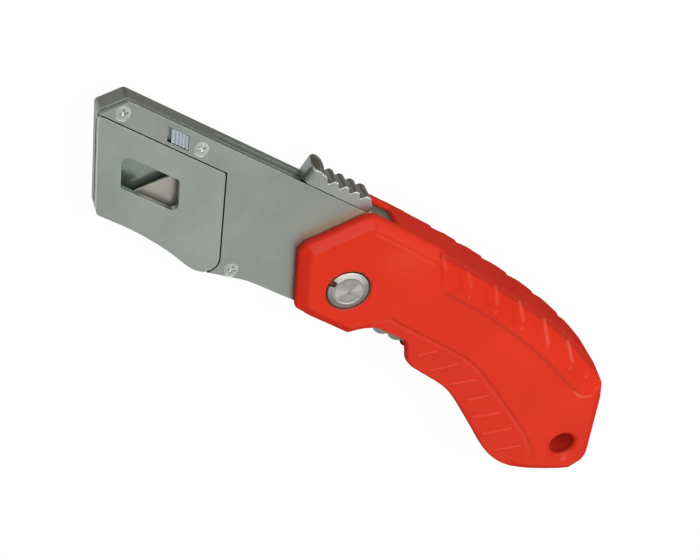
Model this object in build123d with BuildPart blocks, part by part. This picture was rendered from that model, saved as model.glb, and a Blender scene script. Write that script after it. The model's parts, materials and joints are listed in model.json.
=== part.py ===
from build123d import *
import os
from math import acos, atan, cos, degrees, radians, sin, tan

# Folding utility knife: a cast two-cheek handle, a steel head that folds into it, and a
# trapezoid blade on a sliding carrier. Millimetres.
# +X runs from the nose to the handle's tail, +Y towards the spine, +Z out of the show side.
# Each piece is drawn around the pivot axis with z = 0 in the blade's plane. The last block
# sets the whole knife down so that it lies on its back face, centred on the origin.

os.makedirs("parts", exist_ok=True)

# --- head -----------------------------------------------------------------------------------
head_thickness = 6.8
floor_thickness = 1.2
plate_thickness = 1.7
head_top = 19.5
head_bottom = -10.6
nose_foot = -73.0
nose_angle = 60.0
apex_height = 13.7
shoulder_run = 4.3
chin_height = -10.1
chin_length = 7.0
tang_back = 1.9
corner_radius = 1.0
toe_radius = 1.4
cover_inset = 0.5
nose_wall = 2.2
belly_wall = 2.0
belly_sweep = 16.0
hole_end_gap = 0.3
far_off = 60.0

# --- blade door -----------------------------------------------------------------------------
door_pin_x = -36.3
door_pin_y = -9.9
door_pin_radius = 1.0
door_pin_reach = 1.0
door_pin_depth = 3.0
door_pin_play = 0.1
heel_radius = 3.65
door_top = 13.25
door_gap = 0.35
door_float = 0.1
door_heel_open = 50.0
window_length = 16.05
window_height = 7.9
window_x = -60.1
window_y = 2.75
window_radius = 1.3

# --- cover screws ---------------------------------------------------------------------------
screw_spots = [(-75.9, 16.2), (-54.4, 16.3), (-28.4, -9.6)]
screw_head_radius = 2.0
screw_radius = 0.7
screw_length = 4.6
screw_fit = 0.02

# --- latch ----------------------------------------------------------------------------------
latch_x = -61.0
latch_y = 16.24
latch_window_length = 6.0
latch_window_height = 3.6
latch_travel = 1.0
latch_fit = 0.15
latch_block_front = -64.6
latch_block_length = 8.0
latch_block_depth = 2.0
latch_pocket_low = 13.9
latch_pocket_high = 18.3
latch_ribs = 5
latch_rib_depth = 0.35
spring_strip = 0.2
spring_half = 1.1
spring_folds = 4
spring_width = 1.4
spring_length = 1.5
spring_gap = 1.05
spring_lift = 0.25

# --- blade and its carrier ------------------------------------------------------------------
blade_length = 61.0
blade_height = 19.0
blade_thickness = 0.6
blade_top_length = 33.5
blade_tip_x = -65.4
blade_edge_y = -8.3
blade_travel = 24.0
blade_end_gap = 0.8
bevel_height = 1.6
edge_land = 0.04
blade_notch_width = 3.2
blade_notch_depth = 2.4
blade_notch_spacing = 11.0
tray_gap = 0.05
tray_clearance = 0.2
tray_front = -41.0
tray_inset = 1.5
rib_front = -48.0
rib_back = -6.6
rib_gap = 0.2
rib_height = 2.1
rib_near = 0.4
rib_end_gap = 0.5
run_clearance = 0.2
lug_clearance = 0.1

# --- thumb slider ---------------------------------------------------------------------------
slider_front = -27.0
slider_back = -6.3
slider_width = 6.4
slider_lift = 0.2
bump_top = 25.0
bump_length = 2.6
tooth_top = 23.3
tooth_root = 21.8
tooth_count = 4
tooth_pitch = 3.3
first_tooth = -20.9
tooth_rise = 0.35
tooth_flat = 0.45
slider_lip = 1.5
slider_chamfer = 0.6
slider_nose_round = 2.0
stem_width = 1.9
stem_front = -26.8
stem_back = -7.2
stem_depth = 1.2
rivet_height = 0.6
slot_width = 2.5
slot_end_gap = 0.5
rivet_radius = 0.5
rivet_spots = [-22.0, -13.0]

# --- slider detent --------------------------------------------------------------------------
ball_x = -30.0
ball_y = -5.0
ball_drop = 0.35
track_clearance = 0.1
leaf_length = 12.0
leaf_width = 3.0
leaf_thickness = 0.22
leaf_recess = 0.3
leaf_clearance = 0.2
leaf_seat = 0.03
leaf_gap = 0.05

# --- pivot ----------------------------------------------------------------------------------
pivot_radius = 3.0
pivot_head_radius = 5.5
pivot_head_height = 1.6
pivot_head_rise = 0.3
pivot_head_chamfer = 0.5
pivot_notch_width = 1.6
pivot_notch_depth = 1.4
pivot_fit = 0.05
bush_radius = 4.2
bush_fit = 0.06
press_fit = 0.02
pivot_screw_radius = 4.6
pivot_screw_height = 1.2
pivot_screw_stem = 1.7
pivot_screw_reach = 7.0
pivot_screw_sink = 0.1
drive_slot_width = 1.2
drive_slot_depth = 0.7
washer_radius = 6.0
washer_thickness = 0.2
cheek_clearance = 0.25

# --- handle ---------------------------------------------------------------------------------
handle_thickness = 15.6
bevel_drop = 2.0
bevel_run = 2.6
spine_front = 2.2
spine_wall = 2.6
lanyard_x = 90.2
lanyard_y = -17.4
lanyard_radius = 3.5
lanyard_boss = 6.6

# --- lock liner -----------------------------------------------------------------------------
liner_thickness = 1.2
liner_clearance = 0.35
liner_fit = 0.35
liner_press = 0.75
liner_sink = 0.1
liner_nose = 11.4
liner_tab_start = 21.2
liner_tab_low = -13.5
liner_tab_high = -12.5
liner_teeth = 3
liner_tooth_pitch = 5.15
liner_hinge_x = 64.0
liner_pad_length = 20.0
liner_screw_spots = [(50.0, -4.5), (58.0, -6.5)]
liner_screw_radius = 1.0
liner_screw_head = 1.7
liner_screw_length = 3.4
spine_steps = [17.5, 26.3, 36.0, 46.0, 56.8, 68.5, 81.5]
step_depth = 0.75
step_length = 4.0
step_land = 3.4
groove_length = 9.0
groove_width = 1.5
groove_depth = 0.35
groove_lean = -36.0

# --- planes that several pieces share ---------------------------------------------------------
head_half = head_thickness / 2
floor_top = -head_half + floor_thickness
seam = head_half - plate_thickness
handle_half = handle_thickness / 2
channel_half = head_half + cheek_clearance
tang_radius = -head_bottom
cavity_low = head_bottom + belly_wall
blade_mid = blade_tip_x + blade_length / 2
blade_back = blade_edge_y + blade_height
rib_low = blade_back + rib_gap
rib_top = rib_low + rib_height
rail_height = rib_top + run_clearance
stem_foot = rib_top - stem_depth
rivet_row = rib_top - rivet_height
tray_top = -blade_thickness / 2 - tray_gap
tray_bottom = floor_top + tray_clearance
leaf_base = tray_top - leaf_seat - leaf_thickness
ball_radius = (leaf_base - leaf_gap - floor_top + ball_drop) / 2
heel = Vector(door_pin_x, door_pin_y)
edge_normal = Vector(sin(radians(nose_angle)), cos(radians(nose_angle)))
liner_top = -channel_half - liner_sink
liner_pad = liner_top - liner_thickness - liner_fit
liner_floor = liner_pad - liner_press


def nose_x(height, inset=0.0):
    """X of the slanted nose at a height, or of a line set in from it."""
    return nose_foot - height / tan(radians(nose_angle)) + inset / sin(radians(nose_angle))


def head_outline():
    """Side view of the head: slanted nose, dipped belly and the tang round the pivot."""
    toe = (nose_x(chin_height), chin_height)
    chin = (toe[0] + chin_length, chin_height)
    heel_low = (door_pin_x, door_pin_y - heel_radius)
    belly_start = (door_pin_x + belly_sweep, head_bottom)
    apex = (nose_x(apex_height), apex_height)
    tang_angle = degrees(acos(tang_back / tang_radius))
    tang_corner = (tang_back, tang_radius * sin(radians(tang_angle)))
    with BuildLine() as outline:
        Polyline(
            tang_corner,
            (tang_back, head_top),
            (apex[0] + shoulder_run, head_top),
            apex,
            toe,
            chin,
        )
        Spline(
            chin,
            (door_pin_x - 14.1, chin_height - 0.8),
            (door_pin_x - 6.1, head_bottom - 1.9),
            heel_low,
            (door_pin_x + 3.0, head_bottom - 2.2),
            (door_pin_x + 7.9, head_bottom - 1.15),
            belly_start,
            tangents=((1, 0), (1, 0)),
        )
        Line(belly_start, (0, head_bottom))
        CenterArc((0, 0), tang_radius, -90, 90 + tang_angle)
    make_face(outline.edges())


def door_region(grow, low_angle, mode):
    """The door's field: top line, slanted rear edge and round heel, each moved out by grow."""
    radius = heel_radius + grow
    foot = heel + edge_normal * radius
    top = door_top + grow
    corner = (foot.X - (top - foot.Y) / tan(radians(nose_angle)), top)
    low = heel + Vector(radius * cos(radians(low_angle)), radius * sin(radians(low_angle)))
    front = nose_foot - far_off
    with BuildLine() as outline:
        Polyline((front, top), corner, (foot.X, foot.Y))
        CenterArc((heel.X, heel.Y), radius, 90 - nose_angle, low_angle - (90 - nose_angle))
        Polyline((low.X, low.Y), (low.X, -far_off), (front, -far_off), (front, top))
    make_face(outline.edges(), mode=mode)


def slanted_window(length, height, radius=0.0):
    """A parallelogram that leans like the nose."""
    lean = height / 2 / tan(radians(nose_angle))
    with BuildSketch(mode=Mode.PRIVATE) as pane:
        Polygon(
            (-length / 2 + lean, -height / 2),
            (length / 2 + lean, -height / 2),
            (length / 2 - lean, height / 2),
            (-length / 2 - lean, height / 2),
            align=None,
        )
        if radius > 0:
            fillet(pane.vertices(), radius)
    add(pane.sketch)


def liner_outline(grow):
    """Leaf of the lock: square nose behind the tang, straight back and a tab at the belly."""
    tab_back = liner_tab_start + liner_teeth * liner_tooth_pitch
    ring = [
        (liner_nose, -0.5),
        (20.0, 1.0),
        (46.0, 0.5),
        (liner_hinge_x, -1.5),
        (liner_hinge_x, -12.5),
        (46.0, -11.5),
        (tab_back + 1.5, -11.8),
        (tab_back, liner_tab_low),
        (liner_tab_start, liner_tab_low),
        (liner_tab_start - 1.0, -11.0),
        (13.0, -9.9),
        (liner_nose, -8.6),
    ]
    Polygon(*moved_in(ring, -grow), align=None)


# --- head body: far half of the head, with the blade's cavity ---------------------------------
rear_cavity = blade_tip_x + blade_length + blade_end_gap
rear_lean = (blade_length - blade_top_length) / 2 / blade_height
slot_front = stem_front - blade_travel - slot_end_gap
slot_back = stem_back + slot_end_gap
latch_pocket_front = latch_block_front - spring_gap - spring_length
latch_pocket_back = latch_block_front + latch_block_length + latch_fit
latch_middle = (latch_pocket_low + latch_pocket_high) / 2
with BuildPart() as head_body:
    with BuildSketch(Plane.XY.offset(-head_half)):
        head_outline()
    extrude(amount=head_half + seam)
    apex_edge, shoulder_edge, toe_edge = head_body.edges().filter_by(Axis.Z).sort_by(Axis.X)[:3]
    fillet(toe_edge, toe_radius)
    fillet([apex_edge, shoulder_edge], corner_radius)
    with BuildSketch(Plane.XY.offset(floor_top)):
        with BuildLine():
            Polyline(
                (nose_x(cavity_low, nose_wall), cavity_low),
                (nose_x(rail_height, nose_wall), rail_height),
                (rib_back + rib_end_gap, rail_height),
                (rib_back + rib_end_gap, rib_low - run_clearance),
                (rear_cavity - (rib_low - blade_edge_y) * rear_lean, rib_low - run_clearance),
                (rear_cavity, cavity_low),
                close=True,
            )
        make_face()
    extrude(amount=seam - floor_top, mode=Mode.SUBTRACT)
    with BuildSketch(Plane.XY.offset(-blade_thickness)):
        with BuildLine():
            Polyline(
                (nose_x(cavity_low) - 8, cavity_low),
                (nose_x(cavity_low) + 8, cavity_low),
                (nose_x(rib_low) + 8, rib_low),
                (nose_x(rib_low) - 8, rib_low),
                close=True,
            )
        make_face()
    extrude(amount=2 * blade_thickness, mode=Mode.SUBTRACT)
    with BuildSketch(Plane.XY.offset(-slot_width / 2)):
        with Locations(((slot_front + slot_back) / 2, (rail_height + head_top) / 2)):
            Rectangle(slot_back - slot_front, head_top - rail_height + 2 * run_clearance)
    extrude(amount=slot_width, mode=Mode.SUBTRACT)
    with BuildSketch(Plane.XY.offset(seam)):
        with Locations(((latch_pocket_front + latch_pocket_back) / 2, latch_middle)):
            Rectangle(
                latch_pocket_back - latch_pocket_front,
                latch_pocket_high - latch_pocket_low,
            )
    extrude(amount=-latch_block_depth - latch_fit, mode=Mode.SUBTRACT)
    with Locations(Plane.XY.offset(seam)):
        with Locations(*screw_spots):
            Hole(screw_radius + screw_fit, depth=screw_length - plate_thickness + hole_end_gap)
        with Locations((door_pin_x, door_pin_y)):
            Hole(door_pin_radius + press_fit, depth=door_pin_depth)
    with BuildSketch(Plane.XY.offset(floor_top)):
        with Locations((ball_x - blade_travel / 2, ball_y)):
            SlotCenterToCenter(blade_travel, 2 * ball_radius)
    extrude(amount=-ball_drop - track_clearance, mode=Mode.SUBTRACT)
    Hole(bush_radius + press_fit)
head_body.part.label = "head_body"

# --- head cover: near plate, a strip above the door and the whole tang behind it ---------------
cover_front = nose_x(apex_height) + cover_inset
with BuildPart() as head_cover:
    with BuildSketch(Plane.XY.offset(seam)):
        head_outline()
        door_region(door_gap, -door_heel_open, Mode.SUBTRACT)
        with BuildLine():
            Polyline(
                (cover_front - far_off, door_top),
                (cover_front, door_top),
                (cover_front, apex_height),
                (cover_front + shoulder_run, head_top),
                (cover_front - far_off, head_top),
                close=True,
            )
        make_face(mode=Mode.SUBTRACT)
    extrude(amount=plate_thickness)
    with BuildSketch(Plane.XY.offset(seam)):
        with Locations((latch_x, latch_y)):
            slanted_window(latch_window_length, latch_window_height)
    extrude(amount=plate_thickness, mode=Mode.SUBTRACT)
    with Locations(Plane.XY.offset(head_half)):
        with Locations(*screw_spots):
            CounterSinkHole(screw_radius + screw_fit, screw_head_radius + screw_fit)
    Hole(bush_radius + press_fit)
head_cover.part.label = "head_cover"

# --- cover screws: countersunk heads flush with the cover --------------------------------------
with BuildPart() as cover_screws:
    with Locations(*[(x, y, 0) for x, y in screw_spots]):
        with Locations((0, 0, head_half - screw_length / 2)):
            Cylinder(screw_radius, screw_length)
        with Locations((0, 0, head_half - (screw_head_radius - screw_radius) / 2)):
            Cone(screw_radius, screw_head_radius, screw_head_radius - screw_radius)
cover_screws.part.label = "cover_screws"

# --- blade door: swings in its own plane about the pin in its round heel -----------------------
with BuildPart() as blade_door:
    with BuildSketch(Plane.XY.offset(seam + door_float)):
        head_outline()
        door_region(0.0, -90, Mode.INTERSECT)
    extrude(amount=plate_thickness - door_float)
    fillet(blade_door.edges().filter_by(Axis.Z).sort_by(Axis.X)[1], toe_radius)
    fillet(blade_door.edges().filter_by(Axis.Z).group_by(Axis.Y)[-1], corner_radius)
    with BuildSketch(Plane.XY.offset(seam)):
        with Locations((window_x, window_y)):
            slanted_window(window_length, window_height, window_radius)
    extrude(amount=plate_thickness, mode=Mode.SUBTRACT)
    with Locations((door_pin_x, door_pin_y, seam)):
        Cylinder(
            door_pin_radius + bush_fit,
            2 * (door_float + door_pin_reach + door_pin_play),
            mode=Mode.SUBTRACT,
        )
blade_door.part.label = "blade_door"

with BuildPart() as door_pin:
    with BuildSketch(Plane.XY.offset(seam - door_pin_depth)):
        with Locations((door_pin_x, door_pin_y)):
            Circle(door_pin_radius)
    extrude(amount=door_pin_depth + door_float + door_pin_reach)
door_pin.part.label = "door_pin"

# --- latch: ribbed button in the cover's window, on a block that slides below it ---------------
latch_height = latch_pocket_high - latch_pocket_low - 2 * latch_fit
latch_centre = latch_block_front + latch_block_length / 2
pad_length = latch_window_length - latch_travel - 2 * latch_fit
pad_height = latch_window_height - 2 * latch_fit
pad_x = latch_x + latch_travel / 2
block_base = seam - latch_block_depth
with BuildPart() as latch_button:
    with BuildSketch(Plane.XY.offset(block_base)):
        with Locations((latch_centre, latch_middle)):
            Rectangle(latch_block_length, latch_height)
    extrude(amount=latch_block_depth - tray_gap)
    with BuildSketch(Plane.XY.offset(block_base)):
        with Locations((pad_x, latch_y)):
            slanted_window(pad_length, pad_height)
    extrude(amount=head_half - tray_gap - block_base)
    with BuildSketch(Plane.XY.offset(head_half)):
        with Locations((pad_x, latch_y)):
            with GridLocations(pad_length / latch_ribs, 0, latch_ribs - 1, 1):
                slanted_window(pad_length / latch_ribs / 2, 2 * pad_height)
    extrude(amount=-latch_rib_depth, mode=Mode.SUBTRACT)
latch_button.part.label = "latch_button"

# --- latch spring: folded strip standing on the pocket's front wall ----------------------------
fold = (spring_length - spring_strip) / spring_folds
with BuildPart() as latch_spring:
    with BuildSketch(Plane.XY.offset(block_base + spring_lift)):
        with BuildLine():
            Polyline(
                *[
                    (
                        latch_pocket_front + spring_strip / 2 + leg * fold,
                        latch_middle + (spring_half if leg % 2 else -spring_half),
                    )
                    for leg in range(spring_folds + 1)
                ]
            )
        trace(line_width=spring_strip)
    extrude(amount=spring_width)
latch_spring.part.label = "latch_spring"

# --- blade: double trapezoid, two notches in its back and a ground cutting edge ----------------
with BuildPart() as blade:
    with BuildSketch(Plane.XY.offset(-blade_thickness / 2)):
        with BuildLine():
            Polyline(
                (blade_tip_x, blade_edge_y),
                (blade_tip_x + blade_length, blade_edge_y),
                (blade_mid + blade_top_length / 2, blade_back),
                (blade_mid - blade_top_length / 2, blade_back),
                close=True,
            )
        make_face()
        with Locations((blade_mid, blade_back)):
            with GridLocations(blade_notch_spacing, 0, 2, 1):
                Rectangle(blade_notch_width, 2 * blade_notch_depth, mode=Mode.SUBTRACT)
    extrude(amount=blade_thickness)
    cutting_edges = blade.edges().filter_by(Axis.X).group_by(Axis.Y)[0]
    chamfer(cutting_edges, (blade_thickness - edge_land) / 2, bevel_height)
blade.part.label = "blade"

# --- blade carrier: tray behind the blade, lugs in its notches and a rib that runs in the rail --
tray_back = rear_cavity - tray_inset
with BuildPart() as blade_carrier:
    with BuildSketch(Plane.XY.offset(tray_bottom)):
        with BuildLine():
            Polyline(
                (tray_front, cavity_low + run_clearance),
                (tray_back, cavity_low + run_clearance),
                (tray_back - (rib_low - cavity_low) * rear_lean, rib_low),
                (tray_front, rib_low),
                close=True,
            )
        make_face()
    extrude(amount=tray_top - tray_bottom)
    with BuildSketch(Plane.XY.offset(tray_bottom)):
        with Locations(((rib_front + rib_back) / 2, (rib_low + rib_top) / 2)):
            Rectangle(rib_back - rib_front, rib_height)
    extrude(amount=rib_near - tray_bottom)
    lug_foot = blade_back - blade_notch_depth + lug_clearance
    with BuildSketch(Plane.XY.offset(tray_top)):
        with Locations((blade_mid, (lug_foot + rib_low) / 2)):
            with GridLocations(blade_notch_spacing, 0, 2, 1):
                Rectangle(blade_notch_width - 2 * lug_clearance, rib_low - lug_foot)
    extrude(amount=blade_thickness + tray_gap)
    with BuildSketch(Plane.XY.offset(-stem_width / 2)):
        with Locations(((stem_front + stem_back) / 2, (stem_foot + rail_height) / 2)):
            Rectangle(stem_back - stem_front, rail_height - stem_foot)
    extrude(amount=stem_width, mode=Mode.SUBTRACT)
    with Locations(Plane.XY.offset(tray_bottom)):
        with Locations(*[(x, rivet_row) for x in rivet_spots]):
            Cylinder(rivet_radius + press_fit, 2 * head_thickness, mode=Mode.SUBTRACT)
    with BuildSketch(Plane.XY.offset(tray_top)):
        with Locations((ball_x, ball_y)):
            Rectangle(leaf_length + 2 * leaf_clearance, leaf_width + 2 * leaf_clearance)
    extrude(amount=-leaf_recess, mode=Mode.SUBTRACT)
    with Locations((ball_x, ball_y, tray_top)):
        Cylinder(ball_radius + bush_fit, 2 * head_thickness, mode=Mode.SUBTRACT)
blade_carrier.part.label = "blade_carrier"

# --- slider detent: a ball in the tray, pressed into the body's track by a flat leaf ------------
with BuildPart() as detent_ball:
    with Locations((ball_x, ball_y, floor_top - ball_drop + ball_radius)):
        Sphere(ball_radius)
detent_ball.part.label = "detent_ball"

with BuildPart() as detent_leaf:
    with Locations((ball_x, ball_y, leaf_base + leaf_thickness / 2)):
        Box(leaf_length, leaf_width, leaf_thickness)
detent_leaf.part.label = "detent_leaf"

# --- thumb slider: tall front bump, raked teeth and a stem through the slot --------------------
slider_base = head_top + slider_lift
with BuildPart() as thumb_slider:
    with BuildSketch(Plane.XY.offset(-slider_width / 2)):
        with BuildLine():
            profile = [
                (slider_back, slider_base),
                (slider_front, slider_base),
                (slider_front, bump_top),
                (slider_front + bump_length, bump_top),
                (first_tooth, tooth_root),
            ]
            for tooth in range(tooth_count):
                start = first_tooth + tooth * tooth_pitch
                profile.append((start + tooth_rise * tooth_pitch, tooth_top))
                profile.append((start + (tooth_rise + tooth_flat) * tooth_pitch, tooth_top))
                if tooth < tooth_count - 1:
                    profile.append((start + tooth_pitch, tooth_root))
            profile.append((slider_back, slider_base + slider_lip))
            Polyline(*profile, close=True)
        make_face()
    extrude(amount=slider_width)
    chamfer(thumb_slider.edges().filter_by(Axis.Z).group_by(Axis.Y)[-1], slider_chamfer)
    fillet(thumb_slider.edges().filter_by(Axis.Y).group_by(Axis.X)[0], slider_nose_round)
    with BuildSketch(Plane.XY.offset(-stem_width / 2)):
        with Locations(((stem_front + stem_back) / 2, (stem_foot + slider_base) / 2)):
            Rectangle(stem_back - stem_front, slider_base - stem_foot)
    extrude(amount=stem_width)
    with Locations(*[(x, rivet_row, 0) for x in rivet_spots]):
        Cylinder(rivet_radius + press_fit, stem_width, mode=Mode.SUBTRACT)
thumb_slider.part.label = "thumb_slider"

with BuildPart() as slider_rivets:
    with BuildSketch(Plane.XY.offset(tray_bottom)):
        with Locations(*[(x, rivet_row) for x in rivet_spots]):
            Circle(rivet_radius)
    extrude(amount=stem_width / 2 - tray_bottom)
slider_rivets.part.label = "slider_rivets"

# --- pivot: barrel with a turned head, bush in the tang, two washers and the far screw ---------
head_seat = handle_half + pivot_head_rise - pivot_head_height
barrel_end = -handle_half + pivot_screw_sink + pivot_screw_height
with BuildPart() as pivot_barrel:
    with BuildSketch(Plane.XY.offset(head_seat)):
        Circle(pivot_head_radius)
    extrude(amount=pivot_head_height)
    chamfer(pivot_barrel.edges().group_by(Axis.Z)[-1], pivot_head_chamfer)
    with BuildSketch(Plane.XY.offset(barrel_end)):
        Circle(pivot_radius)
    extrude(amount=head_seat - barrel_end)
    with Locations((-pivot_head_radius, 0, head_seat + pivot_head_height)):
        Box(2 * pivot_notch_depth, pivot_notch_width, pivot_head_height, mode=Mode.SUBTRACT)
    with Locations(Plane.XY.offset(barrel_end)):
        Cylinder(
            pivot_screw_stem + press_fit,
            2 * (pivot_screw_reach + hole_end_gap),
            mode=Mode.SUBTRACT,
        )
pivot_barrel.part.label = "pivot_barrel"

with BuildPart() as pivot_screw:
    with BuildSketch(Plane.XY.offset(-handle_half + pivot_screw_sink)):
        Circle(pivot_screw_radius)
    extrude(amount=pivot_screw_height)
    with BuildSketch(Plane.XY.offset(barrel_end)):
        Circle(pivot_screw_stem)
    extrude(amount=pivot_screw_reach)
    with Locations((0, 0, -handle_half + pivot_screw_sink)):
        Box(2 * pivot_screw_radius, drive_slot_width, 2 * drive_slot_depth, mode=Mode.SUBTRACT)
pivot_screw.part.label = "pivot_screw"

with BuildPart() as tang_bush:
    with BuildSketch(Plane.XY.offset(-head_half)):
        Circle(bush_radius)
        Circle(pivot_radius + bush_fit, mode=Mode.SUBTRACT)
    extrude(amount=head_thickness)
tang_bush.part.label = "tang_bush"

with BuildPart() as pivot_washers:
    for washer_base in (channel_half - washer_thickness, -channel_half):
        with BuildSketch(Plane.XY.offset(washer_base)):
            Circle(washer_radius)
            Circle(pivot_radius + bush_fit, mode=Mode.SUBTRACT)
        extrude(amount=washer_thickness)
pivot_washers.part.label = "pivot_washers"


# --- handle casting: two cheeks joined by the spine, the tail and the lanyard boss -------------
spine_points = [
    (spine_front, 20.6),
    (15.0, 20.1),
    (30.0, 19.0),
    (45.0, 17.3),
    (60.0, 14.9),
    (70.0, 12.4),
    (81.0, 8.6),
]
tail_points = [(87.8, 4.3), (91.0, 0.1), (101.0, -17.8), (101.3, -20.6), (99.6, -24.6)]
belly_points = [
    (96.3, -26.3),
    (88.0, -29.6),
    (79.2, -31.2),
    (72.5, -29.9),
    (62.6, -24.8),
    (54.6, -20.3),
    (46.0, -16.2),
    (37.2, -14.7),
    (32.0, -14.0),
]
front_points = [(-3.4, -11.75), (-8.4, -11.1), (-17.4, 3.1), (-17.0, 6.0), (-8.0, 19.2), (-6.0, 20.7)]
near_guard = [(29.6, -13.0), (26.3, -8.9), (24.3, -7.3), (14.2, -7.2), (12.4, -8.7), (9.2, -12.0)]
far_guard = [(29.6, -13.2), (26.3, -12.0), (24.3, -11.6), (14.2, -11.5), (12.4, -11.6), (9.2, -12.1)]


def moved_in(points, distance):
    """Ring of points moved inwards so that every side shifts by the distance."""
    ring = [Vector(*point) for point in points]
    moved = []
    for index, point in enumerate(ring):
        before = (point - ring[index - 1]).normalized()
        after = (ring[(index + 1) % len(ring)] - point).normalized()
        across = Vector(before.Y + after.Y, -before.X - after.X)
        moved.append(point + across * (distance / (1 + before.dot(after))))
    return [(point.X, point.Y) for point in moved]


def spine_at(x):
    """Height and slope of the spine at an X, between its two nearest points."""
    for front, back in zip(spine_points, spine_points[1:]):
        if front[0] <= x <= back[0] or back is spine_points[-1]:
            rise = (back[1] - front[1]) / (back[0] - front[0])
            return front[1] + rise * (x - front[0]), degrees(atan(rise))


def handle_outline(guard, inset=0.0):
    """Side view of one cheek: bowed spine, faceted tail, swept belly, guard and front point."""
    ring = spine_points + tail_points + belly_points + guard + front_points
    ring = moved_in(ring, inset)
    spine_end = len(spine_points)
    belly_start = spine_end + len(tail_points)
    belly_end = belly_start + len(belly_points)
    with BuildLine() as outline:
        Spline(*ring[:spine_end])
        Polyline(*ring[spine_end - 1 : belly_start + 1])
        Spline(*ring[belly_start:belly_end])
        Polyline(*ring[belly_end - 1 :], ring[0])
    make_face(outline.edges())


shoulder = handle_half - bevel_drop
spine_inside = moved_in([(-30, 21)] + spine_points + [(120, -5)], spine_wall)[1:-1]
with BuildPart() as handle_casting:
    for side, guard in ((1, near_guard), (-1, far_guard)):
        with BuildSketch(Plane.XY):
            handle_outline(guard)
        extrude(amount=side * shoulder)
        with BuildSketch(Plane.XY.offset(side * shoulder)):
            handle_outline(guard)
        with BuildSketch(Plane.XY.offset(side * handle_half)):
            handle_outline(guard, bevel_run)
        loft(ruled=True)
    with BuildSketch(Plane.XY.offset(-channel_half)) as channel:
        with BuildLine():
            Polyline((spine_front, far_off), spine_inside[0])
            Spline(*spine_inside)
            Polyline(
                spine_inside[-1],
                (84.6, 1.6),
                (87.4, -2.2),
                (94.0, -13.5),
                (83.2, -18.5),
                (80.8, -27.0),
                (80.8, -far_off),
                (-far_off, -far_off),
                (-far_off, far_off),
                (spine_front, far_off),
            )
        make_face()
        with Locations((lanyard_x, lanyard_y)):
            Circle(lanyard_boss, mode=Mode.SUBTRACT)
    extrude(amount=2 * channel_half, mode=Mode.SUBTRACT)
    with BuildSketch(Plane.XY.offset(-handle_half)):
        Circle(pivot_radius + pivot_fit)
        with Locations((lanyard_x, lanyard_y)):
            Circle(lanyard_radius)
    extrude(amount=handle_thickness, mode=Mode.SUBTRACT)
    with BuildSketch(Plane.XY.offset(head_seat)):
        Circle(pivot_head_radius + cheek_clearance)
    extrude(amount=handle_thickness, mode=Mode.SUBTRACT)
    with BuildSketch(Plane.XY.offset(barrel_end)):
        Circle(pivot_screw_radius + cheek_clearance)
    extrude(amount=-handle_thickness, mode=Mode.SUBTRACT)
    with BuildSketch(Plane.XY.offset(-channel_half)):
        liner_outline(liner_clearance)
    extrude(amount=liner_pad + channel_half, mode=Mode.SUBTRACT)
    with BuildSketch(Plane.XY.offset(-channel_half)):
        liner_outline(liner_clearance)
        with Locations((liner_hinge_x, 0)):
            Rectangle(2 * liner_pad_length, far_off, mode=Mode.SUBTRACT)
    extrude(amount=liner_floor + channel_half, mode=Mode.SUBTRACT)
    with Locations(*[(x, y, liner_top) for x, y in liner_screw_spots]):
        Cylinder(
            liner_screw_radius + press_fit,
            2 * (liner_screw_length + hole_end_gap),
            mode=Mode.SUBTRACT,
        )
    for x in spine_steps:
        with BuildSketch(Plane.XY.offset(-handle_half)):
            height, slope = spine_at(x)
            with Locations((x, height)):
                Polygon(
                    (0, step_length),
                    (0, -step_depth),
                    (step_length, 0),
                    (step_length, step_length),
                    rotation=slope,
                    align=None,
                )
        extrude(amount=handle_thickness - step_land, mode=Mode.SUBTRACT)
    for face in (-handle_half, handle_half - groove_depth):
        with BuildSketch(Plane.XY.offset(face)):
            for x in spine_steps[:-1]:
                height, slope = spine_at(x)
                with Locations((x, height - bevel_run)):
                    with Locations(Location((0, 0, 0), (0, 0, groove_lean))):
                        Rectangle(groove_length, groove_width, align=(Align.MIN, Align.MAX))
        extrude(amount=groove_depth, mode=Mode.SUBTRACT)
handle_casting.part.label = "handle_casting"

# --- lock liner: flat leaf in the far cheek, with the press tab's teeth below the belly --------
tab_middle = liner_tab_start + liner_teeth * liner_tooth_pitch / 2
tooth_drop = liner_tab_high - liner_tab_low
tooth_radius = (liner_tooth_pitch**2 / 4 + tooth_drop**2) / (2 * tooth_drop)
with BuildPart() as lock_liner:
    with BuildSketch(Plane.XY.offset(liner_top)):
        liner_outline(0.0)
        with Locations((tab_middle, liner_tab_low)):
            Rectangle(
                (liner_teeth + 1) * liner_tooth_pitch,
                2 * tooth_drop,
                mode=Mode.SUBTRACT,
            )
        with Locations((tab_middle, liner_tab_low + tooth_radius)):
            with GridLocations(liner_tooth_pitch, 0, liner_teeth, 1):
                Circle(tooth_radius)
    extrude(amount=-liner_thickness)
    with Locations(Plane.XY.offset(liner_top)):
        with Locations(*liner_screw_spots):
            CounterSinkHole(liner_screw_radius + bush_fit, liner_screw_head + bush_fit)
lock_liner.part.label = "lock_liner"

with BuildPart() as liner_screws:
    with Locations(*[(x, y, 0) for x, y in liner_screw_spots]):
        with Locations((0, 0, liner_top - liner_screw_length / 2)):
            Cylinder(liner_screw_radius, liner_screw_length)
        with Locations((0, 0, liner_top - (liner_screw_head - liner_screw_radius) / 2)):
            Cone(liner_screw_radius, liner_screw_head, liner_screw_head - liner_screw_radius)
liner_screws.part.label = "liner_screws"

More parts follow.
